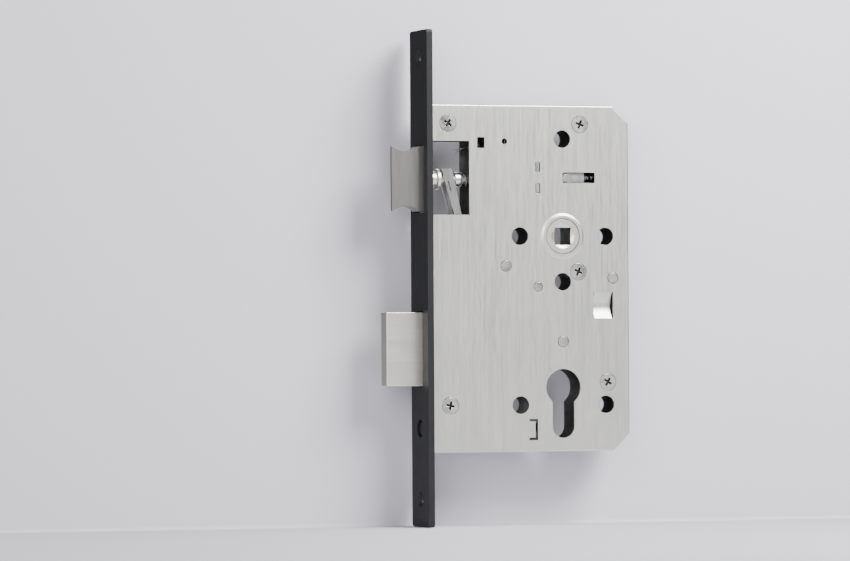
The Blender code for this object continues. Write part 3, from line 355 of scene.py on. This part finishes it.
def grain_stretch(finishes, direction):
    """Coordinates per metre that draw the brushing's lines along one axis."""
    across, along = 1 / finishes.grain_width, 1 / finishes.grain_length
    return tuple(along if axis == direction else across for axis in "XYZ")


def case_steel(finishes):
    return finish_material("Brushed case steel", brushing_group, finishes.steel,
                           finishes.steel_roughness, 0.00001, contrast=0.05,
                           Stretch=grain_stretch(finishes, "Z"), Spread=0.12)


def satin_nickel(finishes, direction="X"):
    return finish_material("Satin nickel along " + direction, brushing_group, finishes.nickel,
                           finishes.nickel_roughness, 0.00001, contrast=0.09,
                           Stretch=grain_stretch(finishes, direction), Spread=0.1)


# Painted shade: the latch head's nickel, made darker than the bolt's.
def latch_nickel_shaded(finishes):
    return finish_material("Cast latch nickel", brushing_group, finishes.latch, 0.46, 0.00001,
                           contrast=0.07, Stretch=grain_stretch(finishes, "Z"), Spread=0.1)


def lever_steel(finishes):
    return finish_material("Pressed lever steel", brushing_group, finishes.pressed, 0.36, 0.000012,
                           contrast=0.12, Stretch=grain_stretch(finishes, "Z"), Spread=0.14)


# Duller sheet of the slide, darkened further as painted shade.
def slide_steel_shaded(finishes):
    return finish_material("Slide steel", brushing_group, finishes.slide, 0.45, 0.00001,
                           contrast=0.1, Stretch=grain_stretch(finishes, "Z"), Spread=0.1)


def zinc_plate(finishes):
    return finish_material("Zinc plate", casting_group, finishes.zinc, 0.3, 0.00001, contrast=0.08)


def screw_nickel(finishes):
    return finish_material("Screw nickel", casting_group, finishes.screw, 0.3, 0.000004,
                           contrast=0.04)


# Painted shade in the case's inside, its holes and the hub's bore.
def painted_inner_shade(finishes):
    return finish_material("Greased inner sheet", casting_group, finishes.inner, 0.5, 0.00001,
                           contrast=0.2)


# Painted shade: a near black for the cross recess of a screw.
def recess_painted_shade(finishes):
    return finish_material("Recess of a screw", casting_group, (0.07, 0.062, 0.055), 0.55,
                           0.00001, contrast=0.3)


def spring_wire(finishes):
    return finish_material("Spring wire", casting_group, (0.42, 0.42, 0.43), 0.28, 0.00001)


def powder_coat(finishes):
    material = finish_material("Black powder coat", coat_group, finishes.coat,
                               finishes.coat_roughness, 0.00002, metallic=0.0, contrast=0.16)
    shader = material.node_tree.nodes["Principled BSDF"]
    shader.inputs["Specular IOR Level"].default_value = 0.32
    return material


def black_steel(finishes):
    return finish_material("Blackened steel", casting_group, (0.02, 0.02, 0.021), 0.38, 0.00001,
                           metallic=0.6, contrast=0.2)


# ---------------------------------------------------------------- pieces
def settled(name, bm, material, node, body=None):
    """Link a finished mesh, let it stand for its CAD node and ride on that node's body."""
    mesh = bpy.data.meshes.new(name)
    bm.to_mesh(mesh)
    bm.free()
    mesh.materials.append(material)
    mesh.shade_smooth()
    mesh.set_sharp_from_angle(angle=SHARP_ANGLE)
    piece = bpy.data.objects.new(name, mesh)
    bpy.context.scene.collection.objects.link(piece)
    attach(piece, body or BODY_OF[node])
    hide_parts(node)
    return piece


def extent(node):
    """The lowest and the highest corner of a CAD node's box."""
    corners = [vert.co for vert in frame["nodes"][node].data.vertices]
    return (Vector([min(co[i] for co in corners) for i in range(3)]),
            Vector([max(co[i] for co in corners) for i in range(3)]))


def only(kind, items):
    return [item for item in items if isinstance(item, kind)]


def clean_copy(node):
    """The CAD node as a bmesh with its doubles merged and its flats made whole."""
    bm = bmesh.new()
    bm.from_mesh(frame["nodes"][node].data)
    bmesh.ops.remove_doubles(bm, verts=bm.verts, dist=MERGE_DISTANCE)
    bmesh.ops.dissolve_limit(bm, angle_limit=FLAT_ANGLE, verts=bm.verts, edges=bm.edges)
    return bm


def break_edges(piece, width):
    step = piece.modifiers.new("Broken edges", "BEVEL")
    step.width = width
    step.segments = 2
    step.limit_method = "ANGLE"
    step.angle_limit = BEVEL_ANGLE
    step.use_clamp_overlap = True
    step.harden_normals = True
    flat = piece.modifiers.new("Flat faces stay flat", "WEIGHTED_NORMAL")
    flat.keep_sharp = True


def two_faced(node, skin, inside, edge, is_skin):
    """A CAD node in two metals: one for the faces that the test passes, one for the rest."""
    bm = clean_copy(node)
    bm.normal_update()
    for face in bm.faces:
        face.material_index = 0 if is_skin(face) else 1
    piece = settled(node + "_finished", bm, skin, node)
    piece.data.materials.append(inside)
    break_edges(piece, edge)


def finished(node, material, edge):
    """A CAD node with its edges broken and its metal on."""
    piece = settled(node + "_finished", clean_copy(node), material, node)
    break_edges(piece, edge)


# ---------------------------------------------------------------- operators
class LOCK_OT_stage(Operator):
    """Set the camera, the floor with its backdrop, and the lights"""
    bl_idname = "lock.stage"
    bl_label = "Stage"

    def execute(self, context):
        stage = context.scene.lock_stage
        yaw, pitch, roll = stage.view_yaw, stage.view_pitch, stage.view_roll
        ahead = Vector((math.sin(yaw) * math.cos(pitch), math.cos(yaw) * math.cos(pitch),
                        -math.sin(pitch)))
        right = Vector((math.cos(yaw), -math.sin(yaw), 0))
        up = right.cross(ahead)
        lean = Matrix.Rotation(-roll, 3, ahead)
        right, up = lean @ right, lean @ up
        camera = bpy.data.objects.new("View", bpy.data.cameras.new("View"))
        camera.data.lens = stage.lens
        camera.data.sensor_width = 36
        camera.data.clip_start = 0.05
        camera.data.clip_end = 30
        turn = Matrix((right, up, -ahead)).transposed().to_4x4()
        place = Vector(stage.aim) - ahead * stage.view_distance
        camera.matrix_world = Matrix.Translation(place) @ turn
        context.scene.collection.objects.link(camera)
        context.scene.camera = camera

        low = CAD_BOUNDS[0][2]
        self.backdrop(context, stage, low - FLOOR_GAP)
        for name, setting, place, size in LIGHTS:
            self.light(context, name, place, size, getattr(stage, setting))
        world = bpy.data.worlds.new("Sky")
        world.use_nodes = True
        sky = world.node_tree.nodes["Background"]
        sky.inputs["Color"].default_value = SKY_TINT
        sky.inputs["Strength"].default_value = stage.sky_strength
        context.scene.world = world
        return {"FINISHED"}

    def backdrop(self, context, stage, height):
        """A floor, and close behind the lock a wall that rises from it and shows from in front."""
        bm = bmesh.new()
        spread = Matrix.Diagonal((FLOOR_HALF_WIDTH, FLOOR_REACH, 1, 1))
        bmesh.ops.create_grid(bm, x_segments=1, y_segments=1, size=1,
                              matrix=Matrix.Translation((0, 0, height)) @ spread)
        self.staged(context, "Floor", bm, self.matt("Pale floor", stage.floor))

        bm = bmesh.new()
        start = stage.wall - WALL_BEND
        bottom = [bm.verts.new((side * FLOOR_HALF_WIDTH, start, height)) for side in (-1, 1)]
        edge = bm.edges.new(bottom)
        swept = bmesh.ops.spin(bm, geom=[*bottom, edge], cent=(0, start, height + WALL_BEND),
                               axis=(1, 0, 0), angle=math.pi / 2, steps=WALL_STEPS,
                               use_merge=False)["geom_last"]
        raised = bmesh.ops.extrude_edge_only(bm, edges=only(bmesh.types.BMEdge, swept))["geom"]
        bmesh.ops.translate(bm, vec=(0, 0, WALL_HEIGHT), verts=only(bmesh.types.BMVert, raised))
        bmesh.ops.recalc_face_normals(bm, faces=bm.faces)
        bm.normal_update()
        if sum(face.normal.y for face in bm.faces) > 0:
            bmesh.ops.reverse_faces(bm, faces=bm.faces)
        material = self.matt("Pale wall", stage.floor)
        tree = material.node_tree
        side = add(tree, "ShaderNodeNewGeometry")
        clear = add(tree, "ShaderNodeBsdfTransparent")
        mix = add(tree, "ShaderNodeMixShader")
        tree.links.new(side.outputs["Backfacing"], mix.inputs["Fac"])
        tree.links.new(tree.nodes["Principled BSDF"].outputs["BSDF"], mix.inputs[1])
        tree.links.new(clear.outputs["BSDF"], mix.inputs[2])
        tree.links.new(mix.outputs["Shader"], tree.nodes["Material Output"].inputs["Surface"])
        wall = self.staged(context, "Wall", bm, material)
        wall.visible_diffuse = wall.visible_glossy = wall.visible_shadow = False

    def matt(self, name, tone):
        material = bpy.data.materials.new(name)
        material.use_nodes = True
        shader = material.node_tree.nodes["Principled BSDF"]
        shader.inputs["Base Color"].default_value = (*tone, 1)
        shader.inputs["Roughness"].default_value = 0.85
        return material

    def staged(self, context, name, bm, material):
        mesh = bpy.data.meshes.new(name)
        bm.to_mesh(mesh)
        bm.free()
        mesh.shade_smooth()
        mesh.materials.append(material)
        piece = bpy.data.objects.new(name, mesh)
        context.scene.collection.objects.link(piece)
        return piece

    def light(self, context, name, place, size, power):
        data = bpy.data.lights.new(name, "AREA")
        data.shape = "RECTANGLE"
        data.size, data.size_y = size
        data.energy = power
        lamp = bpy.data.objects.new(name, data)
        lamp.location = place
        aim = LIGHT_TARGET - Vector(place)
        lamp.rotation_euler = aim.to_track_quat("-Z", "Y").to_euler()
        context.scene.collection.objects.link(lamp)


class LOCK_OT_forend(Operator):
    """Coat the forend and black its cylinder screw"""
    bl_idname = "lock.forend"
    bl_label = "Forend"

    def execute(self, context):
        finishes, details = context.scene.lock_finishes, context.scene.lock_details
        finished("forend", powder_coat(finishes), details.machined_edge)
        finished("cylinder_screw", black_steel(finishes), details.machined_edge)
        for node in ("forend_stud_top", "forend_stud_middle", "forend_stud_bottom"):
            finished(node, zinc_plate(finishes), details.machined_edge)
        return {"FINISHED"}


class LOCK_OT_case(Operator):
    """Brush the cover and the tray of the case"""
    bl_idname = "lock.case"
    bl_label = "Case"

    def execute(self, context):
        finishes, details = context.scene.lock_finishes, context.scene.lock_details
        far = extent("case_tray")[1]

        def on_skin(face, side):
            spot = face.calc_center_median()
            from_back, from_end = far.x - spot.x, far.z - abs(spot.z)
            on_rim = min(from_back, from_end) < details.case_rim
            on_rim = on_rim or from_back + from_end < details.case_corner
            outside = spot.y * side > details.half_case - CASE_SKIN_DEPTH
            return on_rim or (outside and face.normal.y * side > SKIN_FACING)

        # Faces off the outer skin and its rims take the painted inner shade.
        for node, side in (("cover_plate", -1), ("case_tray", 1)):
            two_faced(node, case_steel(finishes), painted_inner_shade(finishes), details.sheet_edge,
                      lambda face: on_skin(face, side))
        return {"FINISHED"}


class LOCK_OT_fasteners(Operator):
    """Finish the screws, their posts, the pins and the rod's guide"""
    bl_idname = "lock.fasteners"
    bl_label = "Fasteners"

    def execute(self, context):
        finishes, details = context.scene.lock_finishes, context.scene.lock_details
        for place in ("top_front", "top_back", "middle", "bottom_front", "bottom_back"):
            self.screw("cover_screw_" + place, finishes, details)
            finished("screw_post_" + place, zinc_plate(finishes), details.machined_edge)
        for node in ("lever_pin", "back_pin", "bolt_guide_pin", "tumbler_pin"):
            finished(node, screw_nickel(finishes), details.machined_edge)
        for node in ("spring_post", "rod_guide", "latch_pin", "bolt_rivet_upper",
                     "bolt_rivet_lower"):
            finished(node, zinc_plate(finishes), details.machined_edge)
        return {"FINISHED"}

    def screw(self, node, finishes, details):
        """A cover screw, bright, with painted shade in its cross recess."""
        low, high = extent(node)
        middle = (low + high) / 2

        def bright(face):
            spot = face.calc_center_median()
            from_axis = math.hypot(spot.x - middle.x, spot.z - middle.z)
            sunk = RECESS_TOP < spot.y - low.y < RECESS_FLOOR
            return not (sunk and from_axis < details.recess)

        two_faced(node, screw_nickel(finishes), recess_painted_shade(finishes), details.sheet_edge,
                  bright)


class LOCK_OT_latch(Operator):
    """Finish the latch head, its rod and its collar"""
    bl_idname = "lock.latch"
    bl_label = "Latch"

    def execute(self, context):
        finishes, details = context.scene.lock_finishes, context.scene.lock_details
        finished("latch_head", latch_nickel_shaded(finishes), details.machined_edge)
        finished("latch_rod", satin_nickel(finishes, "X"), details.machined_edge)
        finished("latch_collar", zinc_plate(finishes), details.machined_edge)
        return {"FINISHED"}


class LOCK_OT_bolt(Operator):
    """Finish the dead bolt and its tail"""
    bl_idname = "lock.bolt"
    bl_label = "Dead bolt"

    def execute(self, context):
        finishes, details = context.scene.lock_finishes, context.scene.lock_details
        finished("deadbolt_head", satin_nickel(finishes, "X"), details.machined_edge)
        finished("bolt_tail", zinc_plate(finishes), details.sheet_edge)
        return {"FINISHED"}


class LOCK_OT_works(Operator):
    """Finish the follower, its slide and the levers"""
    bl_idname = "lock.works"
    bl_label = "Works"

    def execute(self, context):
        finishes, details = context.scene.lock_finishes, context.scene.lock_details
        hub = next(joint for joint in BEHAVIOUR["joints"]
                   if joint["name"] == "follower_turn")["pos_m"]

        def outside_bore(face):
            spot = face.calc_center_median()
            off_axis = max(abs(spot.x - hub[0]), abs(spot.z - hub[2]))
            within = off_axis < details.spindle_square
            return not (within and abs(face.normal.y) < WALL_FACING)

        # The walls of the spindle's square bore take the painted inner shade.
        two_faced("follower", satin_nickel(finishes, "Z"), painted_inner_shade(finishes),
                  details.machined_edge, outside_bore)
        slide_front = extent("spring_slide")[0].y + SLIDE_SKIN
        two_faced("spring_slide", screw_nickel(finishes), slide_steel_shaded(finishes),
                  details.machined_edge, lambda face: face.calc_center_median().y < slide_front)
        for node in ("latch_lever", "draw_link", "change_lever", "tumbler"):
            finished(node, lever_steel(finishes), details.sheet_edge)
        return {"FINISHED"}


class LOCK_OT_springs(Operator):
    """Finish the springs"""
    bl_idname = "lock.springs"
    bl_label = "Springs"

    def execute(self, context):
        finishes, details = context.scene.lock_finishes, context.scene.lock_details
        for node, joint, travel, turns, wire in COILS:
            self.compressed(node, joint, travel, turns, wire, finishes, details)
        for node in ("lever_spring", "tumbler_spring"):
            bm = bmesh.new()
            bm.from_mesh(frame["nodes"][node].data)
            bmesh.ops.remove_doubles(bm, verts=bm.verts, dist=MERGE_DISTANCE)
            piece = settled(node + "_finished", bm, spring_wire(finishes), node)
            smooth = piece.modifiers.new("Round wire", "SUBSURF")
            smooth.levels = smooth.render_levels = 2
        return {"FINISHED"}

    def compressed(self, node, joint, travel, turns, wire, finishes, details):
        """A coil along X with a closed turn at each end."""
        low, high = extent(node)
        middle = (low + high) / 2
        radius = (high.z - low.z) / 2 - wire
        closed = wire * CLOSED_PITCH
        open_pitch = (high.x - low.x - 2 * wire - 2 * closed) / (turns - 2)
        bm = bmesh.new()
        ring = bmesh.ops.create_circle(bm, segments=details.spring_sides, radius=wire)["verts"]
        turn = Matrix.Rotation(math.pi / 2, 4, "X")
        place = Matrix.Translation((low.x + wire, middle.y, middle.z + radius))
        bmesh.ops.transform(bm, matrix=place @ turn, verts=ring)
        edges = list({edge for vert in ring for edge in vert.link_edges})
        bmesh.ops.contextual_create(bm, geom=edges)
        end = list(ring) + edges
        for count, pitch in ((1, closed), (turns - 2, open_pitch), (1, closed)):
            swept = bmesh.ops.spin(bm, geom=end, cent=middle, axis=(1, 0, 0),
                                   dvec=(pitch / COIL_STEPS, 0, 0), angle=math.tau * count,
                                   steps=COIL_STEPS * count, use_merge=False)
            end = only((bmesh.types.BMVert, bmesh.types.BMEdge), swept["geom_last"])
        bmesh.ops.contextual_create(bm, geom=only(bmesh.types.BMEdge, end))
        bmesh.ops.recalc_face_normals(bm, faces=bm.faces)
        piece = settled(node + "_finished", bm, spring_wire(finishes), node)
        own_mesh(piece)


OPERATORS = (LOCK_OT_stage, LOCK_OT_forend, LOCK_OT_case, LOCK_OT_fasteners, LOCK_OT_latch,
             LOCK_OT_bolt, LOCK_OT_works, LOCK_OT_springs)


class LOCK_PT_panel(Panel):
    """Lists the lock's steps and settings"""
    bl_label = "Mortise Lock"
    bl_idname = "LOCK_PT_panel"
    bl_space_type = "VIEW_3D"
    bl_region_type = "UI"
    bl_category = "Lock"

    def draw(self, context):
        layout = self.layout
        for step in OPERATORS:
            layout.operator(step.bl_idname)
        scene = context.scene
        for settings in (scene.lock_finishes, scene.lock_details, scene.lock_stage):
            box = layout.box()
            for label in settings.__annotations__:
                box.prop(settings, label)


CLASSES = (LockFinishes, LockDetails, LockStage, *OPERATORS, LOCK_PT_panel)


def register():
    for item in CLASSES:
        bpy.utils.register_class(item)
    bpy.types.Scene.lock_finishes = PointerProperty(type=LockFinishes)
    bpy.types.Scene.lock_details = PointerProperty(type=LockDetails)
    bpy.types.Scene.lock_stage = PointerProperty(type=LockStage)


def unregister():
    for label in ("lock_finishes", "lock_details", "lock_stage"):
        delattr(bpy.types.Scene, label)
    for item in reversed(CLASSES):
        bpy.utils.unregister_class(item)


def main():
    register()
    for step in OPERATORS:
        group, name = step.bl_idname.split(".")
        getattr(getattr(bpy.ops, group), name)()


if __name__ == "__main__":
    main()
